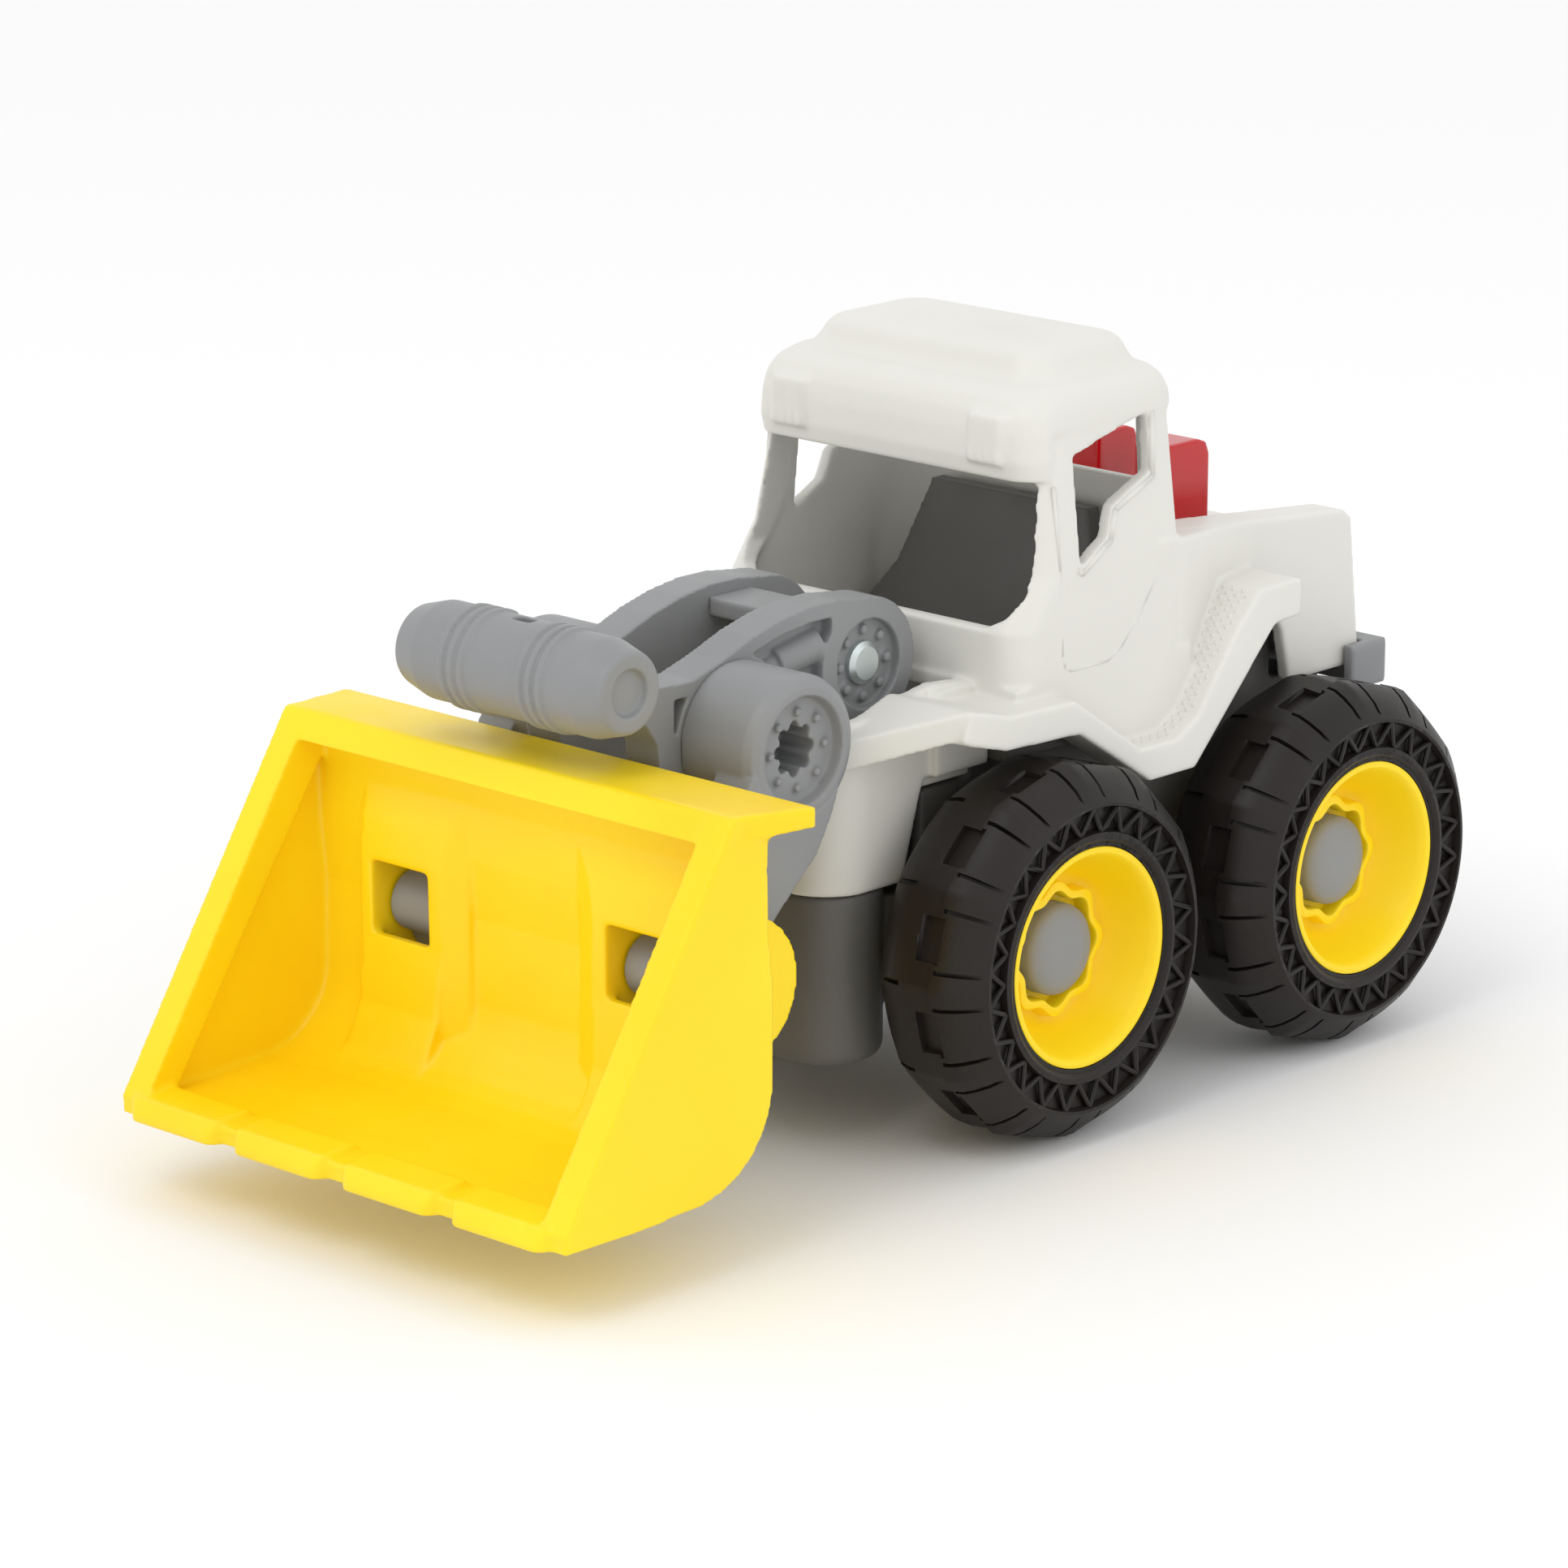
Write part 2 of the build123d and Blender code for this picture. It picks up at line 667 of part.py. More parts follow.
# ---- boom ---------------------------------------------------------------------------
def bumps(y, z, ring_r, x0, x1, radius):
    """Ring of small round studs about an X axis line."""
    studs = None
    for by, bz in around(BUMPS, ring_r, y, z):
        stud = disc(x0, x1, by, bz, radius)
        studs = stud if studs is None else studs + stud
    return studs


def ram(y0, z0, y1, z1, x, radius):
    """Round rod between two points of the side view."""
    run = Vector(0, y1 - y0, z1 - z0)
    middle = Plane(origin=(x, (y0 + y1) / 2, (z0 + z1) / 2), z_dir=run)
    return middle * Cylinder(radius, run.length)


def arm():
    """Left boom arm: curved beam with a sunken outer face, a moulded ram and two bosses."""
    beam = side_plate(ARM_OUTLINE, ARM_IN_X, ARM_OUT_X)
    beam += disc(ARM_IN_X, ARM_OUT_X, ARM_PIVOT_Y, ARM_PIVOT_Z, BOSS_R)
    beam += disc(ARM_IN_X, ARM_OUT_X, DRUM_Y, DRUM_Z, 9.0)
    sunk = side_plate(ARM_RECESS, ARM_OUT_X - RECESS_DEPTH, ARM_OUT_X + 1)
    sunk -= disc(ARM_IN_X, ARM_OUT_X + 2, ARM_PIVOT_Y, ARM_PIVOT_Z, BOSS_R)
    sunk -= disc(ARM_IN_X, ARM_OUT_X + 2, DRUM_Y, DRUM_Z, DRUM_R + 0.6)
    beam -= sunk
    beam += ram(-13.6, 67.2, -21.6, 65.8, 9.3, 2.5)
    beam += ram(-21.0, 65.9, -26.6, 64.6, 9.3, 1.8)
    face_x = ARM_OUT_X - BOSS_RECESS
    beam -= disc(face_x, ARM_OUT_X + 1, ARM_PIVOT_Y, ARM_PIVOT_Z, BOSS_RECESS_R)
    beam += bumps(ARM_PIVOT_Y, ARM_PIVOT_Z, 4.5, face_x - 0.5, face_x + 0.9, 0.7)
    beam -= disc(ARM_IN_X - 1, ARM_OUT_X + 1, ARM_PIVOT_Y, ARM_PIVOT_Z, PIN_R)
    beam -= disc(-GRIP_HALF, GRIP_HALF, GRIP_Y, GRIP_Z, GRIP_R)
    return beam


def arm_brace():
    """Cross web between the two arms just ahead of the pivot."""
    return span_box(-ARM_IN_X, ARM_IN_X, -17.0, -9.0, 68.9, 71.4)


def cross_grip():
    """Ribbed handle across the front ends of the arms, tapered at both tips."""
    profile = [(0.0, 0.0), (0.0, GRIP_R), (14.2, GRIP_R), (GRIP_HALF - 0.4, 5.4),
               (GRIP_HALF, 5.0), (GRIP_HALF, 3.2), (GRIP_HALF - 1.0, 2.8), (GRIP_HALF - 1.0, 0.0)]
    grip = both(turned(profile, GRIP_Y, GRIP_Z))
    for centre in (-7.0, 7.0):
        for k in (-1, 0, 1):
            x = centre + 1.8 * k
            band = disc(x - 0.5, x + 0.5, GRIP_Y, GRIP_Z, GRIP_RIB_R)
            grip += band & span_box(-20, 20, GRIP_Y - 8, GRIP_Y + 3.5, GRIP_Z - 8, GRIP_Z + 8)
    grip -= span_box(-1.6, 1.6, GRIP_Y - 0.8, GRIP_Y + 0.8, GRIP_Z + 4.5, GRIP_Z + 8)
    return grip


def elbow_link():
    """Left link: round drum on the arm, leg down to the bucket and its knuckle."""
    face_x = DRUM_OUT_X - DRUM_FACE
    profile = [(ARM_OUT_X, 0.0), (ARM_OUT_X, DRUM_R), (DRUM_OUT_X - 1.7, DRUM_R),
               (DRUM_OUT_X - 0.5, 9.3), (DRUM_OUT_X, 8.3), (DRUM_OUT_X, 7.2),
               (face_x, 6.8), (face_x, 0.0)]
    drum = turned(profile, DRUM_Y, DRUM_Z)
    leg = side_plate(LINK_OUTLINE, LINK_IN_X, DRUM_OUT_X)
    leg -= disc(face_x, DRUM_OUT_X + 1, DRUM_Y, DRUM_Z, DRUM_R - 1.0)
    link = drum + leg
    link += disc(KNUCKLE_IN_X, KNUCKLE_OUT_X, BUCKET_PIVOT_Y, BUCKET_PIVOT_Z, KNUCKLE_R)
    link += disc(KNUCKLE_IN_X, KNUCKLE_OUT_X, BUCKET_PIVOT_Y - 5.5, BUCKET_PIVOT_Z + 2.3, NOSE_R)
    link += bumps(DRUM_Y, DRUM_Z, 5.0, face_x - 0.5, face_x + 0.9, 0.6)
    socket = disc(face_x - 6, DRUM_OUT_X + 1, DRUM_Y, DRUM_Z, 2.9)
    socket += bumps(DRUM_Y, DRUM_Z, 2.9, face_x - 6, DRUM_OUT_X + 1, 0.8)
    link -= socket
    bore_r = BUCKET_PIN_R + AXLE_CLEARANCE
    link -= disc(KNUCKLE_IN_X - 1, KNUCKLE_OUT_X + 1, BUCKET_PIVOT_Y, BUCKET_PIVOT_Z, bore_r)
    return link


def arm_pivot_pin():
    """Steel pin through both arms and the body lugs, with a low head at each end."""
    head_x = ARM_OUT_X - BOSS_RECESS
    pin = disc(-head_x, head_x, ARM_PIVOT_Y, ARM_PIVOT_Z, PIN_R)
    head = [(head_x, 0.0), (head_x, PIN_HEAD_R), (head_x + 0.7, PIN_HEAD_R),
            (head_x + 1.2, 2.2), (head_x + 1.2, 0.0)]
    return pin + both(turned(head, ARM_PIVOT_Y, ARM_PIVOT_Z))


# ---- bucket -------------------------------------------------------------------------
def bucket_shell():
    """Floor, curved back and two side walls, thicker along the mouth."""
    outer = side_plate(BUCKET_OUTER, -BUCKET_HALF, BUCKET_HALF)
    shell = outer - side_plate(BUCKET_INNER, -BUCKET_IN_HALF, BUCKET_IN_HALF)
    band = side_plate([(-61.0, 59.0), (-92.0, 10.5), (-86.6, 10.5), (-56.2, 55.8)],
                      RIM_BAND_HALF, BUCKET_HALF - 0.1)
    return shell + both(band)


def top_flange():
    """Flat lip along the top of the back wall, a little wider than the bucket."""
    plan = [(-40.1, -60.7, 0), (40.1, -60.7, 0), (42.4, -49.4, 0), (42.6, -48.6, 0),
            (42.0, -48.0, 0), (-42.0, -48.0, 0), (-42.6, -48.6, 0), (-42.4, -49.4, 0)]
    plate = Pos(0, 0, 50) * extrude(make_face(Polyline(*plan, close=True)), amount=20)
    return plate & side_plate([(-60.7, 59.2), (-48.0, 58.5), (-48.0, 56.0), (-54.0, 55.8),
                               (-58.6, 55.6)], -50, 50)


def housing_flare():
    """Slope that blends the inner side of the left bump into the back wall."""
    plan = [(FLARE_X, -55.5, 0), (FLARE_X, -57.4, 0), (HOUSING_IN_X, -59.0, 0),
            (HOUSING_IN_X, -55.5, 0)]
    wedge = Pos(0, 0, 19.0) * extrude(make_face(Polyline(*plan, close=True)), amount=31.0)
    return wedge & side_plate(HOUSING, 0, 40)


def housing():
    """Hollow left bump inside the back wall, with ears behind it for the hinge pin."""
    block = side_plate(HOUSING, HOUSING_IN_X, HOUSING_OUT_X) + housing_flare()
    ear = disc(HOUSING_IN_X, HOUSING_OUT_X, BUCKET_PIVOT_Y, BUCKET_PIVOT_Z, EAR_R)
    ear += side_plate([(BUCKET_PIVOT_Y, BUCKET_PIVOT_Z + EAR_R), (-55.0, 44.0), (-55.0, 20.0),
                       (BUCKET_PIVOT_Y, BUCKET_PIVOT_Z - EAR_R)], HOUSING_IN_X, HOUSING_OUT_X)
    return block + ear


def housing_hollow():
    """Space for the knuckle, open to the rear."""
    x0 = HOUSING_IN_X + HOUSING_WALL
    x1 = HOUSING_OUT_X - HOUSING_WALL
    space = side_plate(HOUSING_HOLLOW, x0, x1)
    space += span_box(x0, x1, -56.0, -30.0, 19.6, 49.4)
    return space


def lip():
    """Four thick rounded pads along the cutting edge, with gaps between them."""
    profile = side_plate([(LIP_Y, 10.3), (LIP_Y, 11.4), (-91.2, 13.4), (-85.6, 13.8),
                          (-84.4, 12.6), (-84.4, 10.3)], -41, 41)
    pads = None
    for x in LIP_PADS:
        outline = RectangleRounded(2 * LIP_PAD_HALF, 8.6, 2.2)
        pad = extrude(Pos(x, LIP_Y + 4.3, 9.0) * outline, amount=6.0)
        pads = pad if pads is None else pads + pad
    return both(pads) & profile


def bucket():
    """Yellow scoop with two hinge housings, a top flange and a scalloped lip."""
    scoop = bucket_shell() + top_flange() + both(housing())
    scoop -= both(housing_hollow())
    scoop -= both(span_box(*WINDOW_X, -64.0, -56.5, *WINDOW_Z))
    hole = disc(HOUSING_IN_X - 1, HOUSING_OUT_X + 1, BUCKET_PIVOT_Y, BUCKET_PIVOT_Z, BUCKET_PIN_R)
    scoop -= both(hole)
    scoop -= span_box(-50, 50, -95.0, LIP_Y + 1.9, 5.0, 12.4)
    return scoop + lip()


def bucket_pin():
    """Left hinge pin, flush with the outer faces of the ears."""
    return disc(HOUSING_IN_X, HOUSING_OUT_X, BUCKET_PIVOT_Y, BUCKET_PIVOT_Z, BUCKET_PIN_R)


# ---- build --------------------------------------------------------------------------
def build_wheels():
    for end, y in (("front", FRONT_AXLE_Y), ("rear", REAR_AXLE_Y)):
        save(axle(y), f"{end}_axle")
        for name, side in (("left", 1), ("right", -1)):
            save(tyre(y, side), f"{end}_{name}_tyre")
            save(rim(y, side), f"{end}_{name}_rim")
            save(axle_cap(y, side), f"{end}_{name}_axle_cap")


def build_body():
    save(body_shell(), "body_shell")
    save(chassis(), "chassis")
    save(rear_bumper(), "rear_bumper")
    save(cab_interior(), "cab_interior")
    save(screws(), "chassis_screws")
    save(light(1), "light_left")
    save(light(-1), "light_right")


def build_boom():
    left_arm = arm()
    left_link = elbow_link()
    save(left_arm, "arm_left")
    save(mirrored(left_arm), "arm_right")
    save(left_link, "elbow_link_left")
    save(mirrored(left_link), "elbow_link_right")
    save(arm_brace(), "arm_brace")
    save(cross_grip(), "cross_grip")
    save(arm_pivot_pin(), "arm_pivot_pin")


def build_bucket():
    save(bucket(), "bucket")
    save(bucket_pin(), "bucket_pin_left")
    save(mirrored(bucket_pin()), "bucket_pin_right")


build_wheels()
build_body()
build_boom()
build_bucket()
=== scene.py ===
"""Looks for the toy front loader: moulded plastic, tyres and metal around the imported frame."""

import json
import math

import bmesh
import bpy
from mathutils import Matrix, Vector

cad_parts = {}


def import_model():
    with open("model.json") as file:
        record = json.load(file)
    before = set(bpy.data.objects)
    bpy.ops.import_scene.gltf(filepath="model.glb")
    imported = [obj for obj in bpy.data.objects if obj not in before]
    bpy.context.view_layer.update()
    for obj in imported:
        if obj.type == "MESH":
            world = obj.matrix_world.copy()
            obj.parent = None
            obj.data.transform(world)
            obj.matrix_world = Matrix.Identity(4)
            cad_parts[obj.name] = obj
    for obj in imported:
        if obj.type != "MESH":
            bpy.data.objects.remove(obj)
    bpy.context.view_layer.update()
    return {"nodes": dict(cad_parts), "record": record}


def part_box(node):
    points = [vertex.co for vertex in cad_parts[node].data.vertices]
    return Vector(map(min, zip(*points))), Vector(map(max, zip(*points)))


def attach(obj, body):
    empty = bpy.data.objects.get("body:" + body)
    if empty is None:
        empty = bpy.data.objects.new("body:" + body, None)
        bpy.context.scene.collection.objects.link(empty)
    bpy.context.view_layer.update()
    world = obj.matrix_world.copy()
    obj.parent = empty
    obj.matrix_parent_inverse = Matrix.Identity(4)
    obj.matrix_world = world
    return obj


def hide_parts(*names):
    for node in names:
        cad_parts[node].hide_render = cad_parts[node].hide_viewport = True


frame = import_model()
MM = 0.001


# ---- materials ----------------------------------------------------------------------
class Nodes:
    """Short way to write a node tree."""

    def __init__(self, name):
        self.material = bpy.data.materials.new(name)
        self.material.use_nodes = True
        self.tree = self.material.node_tree
        self.shader = self.tree.nodes["Principled BSDF"]

    def add(self, kind, **settings):
        node = self.tree.nodes.new(kind)
        for key, value in settings.items():
            if hasattr(node, key):
                setattr(node, key, value)
            else:
                node.inputs[key.replace("_", " ").title()].default_value = value
        return node

    def link(self, out, into):
        self.tree.links.new(out, into)

    def noise(self, scale, detail=3.0, roughness=0.5):
        place = self.add("ShaderNodeTexCoord")
        node = self.add("ShaderNodeTexNoise")
        node.inputs["Scale"].default_value = scale
        node.inputs["Detail"].default_value = detail
        node.inputs["Roughness"].default_value = roughness
        self.link(place.outputs["Object"], node.inputs["Vector"])
        return node.outputs["Fac"]

    def spread(self, value, low, high):
        node = self.add("ShaderNodeMapRange")
        node.inputs["From Min"].default_value = 0.3
        node.inputs["From Max"].default_value = 0.7
        node.inputs["To Min"].default_value = low
        node.inputs["To Max"].default_value = high
        self.link(value, node.inputs["Value"])
        return node.outputs["Result"]

    def mix(self, factor, first, second):
        node = self.add("ShaderNodeMix", data_type="RGBA")
        self.link(factor, node.inputs["Factor"])
        for socket, value in ((node.inputs[6], first), (node.inputs[7], second)):
            if isinstance(value, (tuple, list)):
                socket.default_value = (*value[:3], 1.0)
            else:
                self.link(value, socket)
        return node.outputs[2]

    def bump(self, height, strength, distance, below=None):
        node = self.add("ShaderNodeBump")
        node.inputs["Strength"].default_value = strength
        node.inputs["Distance"].default_value = distance
        self.link(height, node.inputs["Height"])
        if below is not None:
            self.link(below, node.inputs["Normal"])
        return node.outputs["Normal"]


def moulded(name, colour, dark, light, rough, grain=0.05, gloss=0.4):
    """Injection moulded plastic: faint mottling, uneven satin and a fine mould grain."""
    n = Nodes(name)
    cloud = n.spread(n.noise(28.0, 4.0), 0.0, 1.0)
    fine = n.noise(420.0, 3.0)
    base = n.mix(cloud, dark, light)
    speck = n.spread(fine, 0.0, 0.35)
    n.link(n.mix(speck, base, colour), n.shader.inputs["Base Color"])
    n.link(n.spread(n.noise(90.0, 5.0), rough - 0.06, rough + 0.08), n.shader.inputs["Roughness"])
    n.link(n.bump(n.noise(2600.0, 2.0), grain, 0.00012), n.shader.inputs["Normal"])
    n.shader.inputs["Specular IOR Level"].default_value = gloss
    return n.material


white = moulded("white_moulding", (0.72, 0.71, 0.665), (0.70, 0.69, 0.64), (0.74, 0.73, 0.685), 0.42)
yellow = moulded("yellow_moulding", (1.0, 0.72, 0.004), (0.96, 0.66, 0.002), (1.0, 0.76, 0.01), 0.38)
grey = moulded("grey_moulding", (0.26, 0.265, 0.27), (0.235, 0.24, 0.245), (0.28, 0.285, 0.29), 0.44)
# Darker copy of the grey moulding, used on the chassis and the cab interior: painted shade for the parts
# under the body and inside the cab.
grey_painted_shade = moulded("grey_moulding_painted_shade", (0.13, 0.125, 0.12), (0.11, 0.106, 0.1), (0.145, 0.14, 0.13), 0.45)
black = moulded(
    "tyre_black", (0.013, 0.0098, 0.0085), (0.010, 0.0075, 0.0065), (0.017, 0.013, 0.0115), 0.42, 0.12, 0.3
)
red = moulded("red_clear", (0.52, 0.004, 0.008), (0.46, 0.003, 0.006), (0.58, 0.006, 0.01), 0.12, 0.01, 0.6)
zinc = moulded("zinc_steel", (0.62, 0.68, 0.68), (0.56, 0.62, 0.62), (0.68, 0.73, 0.73), 0.3, 0.02)
zinc.node_tree.nodes["Principled BSDF"].inputs["Metallic"].default_value = 0.85
SLOTS = {
    "white_plastic": white,
    "yellow_plastic": yellow,
    "grey_plastic": grey,
    "dark_grey_plastic": grey_painted_shade,
    "tyre_black": black,
    "red_clear_plastic": red,
    "zinc_steel": zinc,
}
SLOT_OF = {s["node"]: s["material_slot"] for s in frame["record"]["subparts"]}

for node, obj in frame["nodes"].items():
    obj.data.materials.clear()
    obj.data.materials.append(SLOTS[SLOT_OF[node]])


# ---- mesh kit (millimetres) ---------------------------------------------------------
def mesh_from(verts, faces):
    """Closed mesh with its normals outward."""
    bm = bmesh.new()
    corners = [bm.verts.new(v) for v in verts]
    for f in faces:
        bm.faces.new([corners[i] for i in f])
    return tidy(bm)


def tidy(bm, weld=1e-4):
    """Weld and orient a bmesh, and turn it into a mesh."""
    bmesh.ops.remove_doubles(bm, verts=bm.verts, dist=weld)
    bmesh.ops.recalc_face_normals(bm, faces=bm.faces)
    mesh = bpy.data.meshes.new("solid")
    bm.to_mesh(mesh)
    bm.free()
    return mesh


def loft(rings):
    """Closed skin over rings of equal length, capped at both ends."""
    count = len(rings[0])
    verts = [v for ring in rings for v in ring]
    faces = [tuple(range(count))[::-1], tuple(range(len(verts) - count, len(verts)))]
    for k in range(len(rings) - 1):
        for i in range(count):
            j = (i + 1) % count
            faces.append((k * count + i, k * count + j, (k + 1) * count + j, (k + 1) * count + i))
    return mesh_from(verts, faces)


def side_plate(points, x0, x1):
    """(y, z) outline from x0 to x1."""
    return loft([[(x, y, z) for y, z in points] for x in (x0, x1)])


def block(x0, x1, y0, y1, z0, z1):
    """Box between two corners."""
    return side_plate([(y0, z0), (y1, z0), (y1, z1), (y0, z1)], x0, x1)


def lathe(profile, y, z, side=1, steps=96, radial=None):
    """Closed (x, radius) outline turned about an X axis line; radial(angle, x, r) may move it."""
    rings = []
    for k in range(steps):
        a = 2 * math.pi * k / steps
        ring = []
        for x, r in profile:
            rr = radial(a, x, r) if radial else r
            ring.append((side * x, y + rr * math.cos(a), z + rr * math.sin(a)))
        rings.append(ring)
    count = len(profile)
    verts = [v for ring in rings for v in ring]
    faces = []
    for k in range(steps):
        n = (k + 1) % steps
        for i in range(count):
            j = (i + 1) % count
            if profile[i][1] <= 1e-6 and profile[j][1] <= 1e-6:
                continue
            faces.append((k * count + i, k * count + j, n * count + j, n * count + i))
    bm = bmesh.new()
    corners = [bm.verts.new(v) for v in verts]
    for f in faces:
        bm.faces.new([corners[i] for i in f])
    bmesh.ops.remove_doubles(bm, verts=bm.verts, dist=1e-5)
    bmesh.ops.dissolve_degenerate(bm, edges=bm.edges, dist=1e-6)
    return tidy(bm)


def rod(start, end, r0, r1=None, steps=24):
    """Straight round bar between two points, with its own radius at each end."""
    a, b = Vector(start), Vector(end)
    turn = (b - a).to_track_quat("Z", "Y")
    rings = []
    for place, r in ((a, r0), (b, r1 if r1 is not None else r0)):
        ring = []
        for k in range(steps):
            t = 2 * math.pi * k / steps
            ring.append(tuple(place + turn @ Vector((r * math.cos(t), r * math.sin(t), 0))))
        rings.append(ring)
    return loft(rings)


def joined(*parts):
    """Several meshes as one, with no boolean."""
    bm = bmesh.new()
    for mesh in parts:
        bm.from_mesh(mesh)
    mesh = bpy.data.meshes.new("solid")
    bm.to_mesh(mesh)
    bm.free()
    return mesh


def moved(mesh, matrix):
    """Copy of a mesh under a matrix."""
    copy = mesh.copy()
    copy.transform(matrix)
    if matrix.determinant() < 0:
        copy.flip_normals()
    return copy


def mirrored(mesh):
    """Copy on the other side of the middle plane."""
    return moved(mesh, Matrix.Scale(-1, 4, (1, 0, 0)))


def evaluated(mesh, *modifiers):
    """Mesh after a stack of modifiers, each (type, {setting: value})."""
    obj = bpy.data.objects.new("work", mesh)
    bpy.context.scene.collection.objects.link(obj)
    for kind, settings in modifiers:
        modifier = obj.modifiers.new(kind, kind)
        for key, value in settings.items():
            setattr(modifier, key, value)
    graph = bpy.context.evaluated_depsgraph_get()
    result = bpy.data.meshes.new_from_object(obj.evaluated_get(graph))
    bpy.data.objects.remove(obj)
    return result


def boolean(first, second, operation):
    """Manifold boolean of two closed meshes."""
    tool = bpy.data.objects.new("tool", second)
    bpy.context.scene.collection.objects.link(tool)
    settings = {"operation": operation, "solver": "MANIFOLD", "object": tool}
    result = evaluated(first, ("BOOLEAN", settings))
    bpy.data.objects.remove(tool)
    return result


def cut(first, *others):
    """First mesh with the others taken out of it."""
    for other in others:
        first = boolean(first, other, "DIFFERENCE")
    return first


def fused(first, *others):
    """First mesh and the others as one solid."""
    for other in others:
        first = boolean(first, other, "UNION")
    return first


def cad(node):
    """Welded copy of a CAD node, in millimetres."""
    bm = bmesh.new()
    bm.from_mesh(frame["nodes"][node].data)
    bmesh.ops.scale(bm, vec=(1000, 1000, 1000), verts=bm.verts)
    mesh = tidy(bm, 0.002)
    mesh.materials.clear()
    return mesh


def bevelled(mesh, width, steps=2, angle=30):
    """Rounds sharp edges with a bevel."""
    settings = {
        "width": width,
        "segments": steps,
        "limit_method": "ANGLE",
        "angle_limit": math.radians(angle),
        "use_clamp_overlap": True,
    }
    return evaluated(mesh, ("BEVEL", settings))


def piece(name, mesh, body, material, nodes=(), smooth=180):
    """Puts a millimetre mesh into the scene as a finished piece."""
    mesh = mesh.copy()
    mesh.transform(Matrix.Scale(MM, 4))
    mesh.name = name
    mesh.materials.clear()
    mesh.materials.append(material)
    bm = bmesh.new()
    bm.from_mesh(mesh)
    limit = math.radians(smooth)
    for face in bm.faces:
        face.smooth = True
    for edge in bm.edges:
        edge.smooth = len(edge.link_faces) == 2 and edge.calc_face_angle(0) < limit
    bm.to_mesh(mesh)
    bm.free()
    obj = bpy.data.objects.new(name, mesh)
    bpy.context.scene.collection.objects.link(obj)
    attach(obj, body)
    if nodes:
        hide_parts(*nodes)
    return obj


# ---- wheels -------------------------------------------------------------------------
PERIODS = 12
SHOULDER_FROM_R = 22.5
SHOULDER_FLATNESS = 0.75
GROOVE_OFFSET = 0.1
RIB_TEETH = 26
RIB_R = 0.38
RIB_INNER_R = 16.95
RIB_OUTER_R = 20.5
RIB_INNER_X = 38.85
RIB_OUTER_X = 39.25
HUB_STEPS = 160
HUB_LOBES = 8


def tyre_mesh():
    """Tyre about the X axis, outer side at +X: flat shoulder blocks, pockets, zigzag wall."""
    period = 2 * math.pi / PERIODS

    def radial(a, x, r):
        if r < SHOULDER_FROM_R:
            return r
        local = (a % period) - period / 2
        flat = math.cos(period / 2) / math.cos(local)
        share = min(1.0, (r - SHOULDER_FROM_R) / 2.0)
        return r * (1 + (flat - 1) * SHOULDER_FLATNESS * share)

    profile = [
        (22.0, 15.0), (22.0, 19.0), (22.2, 21.0), (23.4, 23.4), (25.0, 24.8), (27.0, 25.4),
        (30.0, 25.55), (33.4, 25.15), (33.7, 25.75), (35.2, 25.5), (36.6, 24.7), (38.2, 23.2),
        (39.5, 21.5), (39.9, 20.95), (39.9, 20.5), (38.7, 20.25), (38.3, 17.15), (39.4, 16.9),
        (39.6, 16.2), (39.3, 15.7), (39.0, 15.5), (39.0, 15.0),
    ]
    body = lathe(profile, 0, 0, 1, 288, radial)
    cutters = []
    for k in range(PERIODS):
        a = k * period
        for offset in (-GROOVE_OFFSET, GROOVE_OFFSET):
            slot = loft([
                [(33.9, -0.3, 24.6), (33.9, 0.3, 24.6), (33.9, 0.3, 27.5), (33.9, -0.3, 27.5)],
                [(40.6, -0.25, 20.9), (40.6, 0.25, 20.9), (40.6, 0.3, 27.5), (40.6, -0.3, 27.5)],
            ])
            cutters.append(moved(slot, Matrix.Rotation(a + offset, 4, "X")))
        pocket = loft([
            [(30.6, -2.9, 23.9), (34.3, -2.9, 23.9), (34.3, 2.9, 23.9), (30.6, 2.9, 23.9)],
            [(30.2, -3.5, 27.5), (34.6, -3.5, 27.5), (34.6, 3.5, 27.5), (30.2, 3.5, 27.5)],
        ])
        cutters.append(moved(pocket, Matrix.Rotation(a + period / 2, 4, "X")))
        sipe = block(23.5, 28.2, -0.35, 0.35, 24.2, 27.5)
        cutters.append(moved(sipe, Matrix.Rotation(a, 4, "X")))
    body = cut(body, *[joined(*cutters[i::4]) for i in range(4)])
    ridges = []
    for k in range(RIB_TEETH):
        a0 = 2 * math.pi * k / RIB_TEETH
        a1 = 2 * math.pi * (k + 0.5) / RIB_TEETH
        a2 = 2 * math.pi * (k + 1) / RIB_TEETH
        low = (RIB_INNER_X, RIB_INNER_R * math.cos(a0), RIB_INNER_R * math.sin(a0))
        top = (RIB_OUTER_X, RIB_OUTER_R * math.cos(a1), RIB_OUTER_R * math.sin(a1))
        end = (RIB_INNER_X, RIB_INNER_R * math.cos(a2), RIB_INNER_R * math.sin(a2))
        ridges.append(rod(low, top, RIB_R, RIB_R, 8))
        ridges.append(rod(top, end, RIB_R, RIB_R, 8))
    for group in range(2):
        body = fused(body, joined(*ridges[group::2]))
    return body


def lobed_ring(radius, wave, levels):
    """Solid about the X axis with a wavy outline; levels are (x, growth of the radius)."""
    rings = []
    for x, grow in levels:
        ring = []
        for k in range(HUB_STEPS):
            a = 2 * math.pi * k / HUB_STEPS
            r = radius + wave * math.cos(HUB_LOBES * a) + grow
            ring.append((x, r * math.cos(a), r * math.sin(a)))
        rings.append(ring)
    return loft(rings)


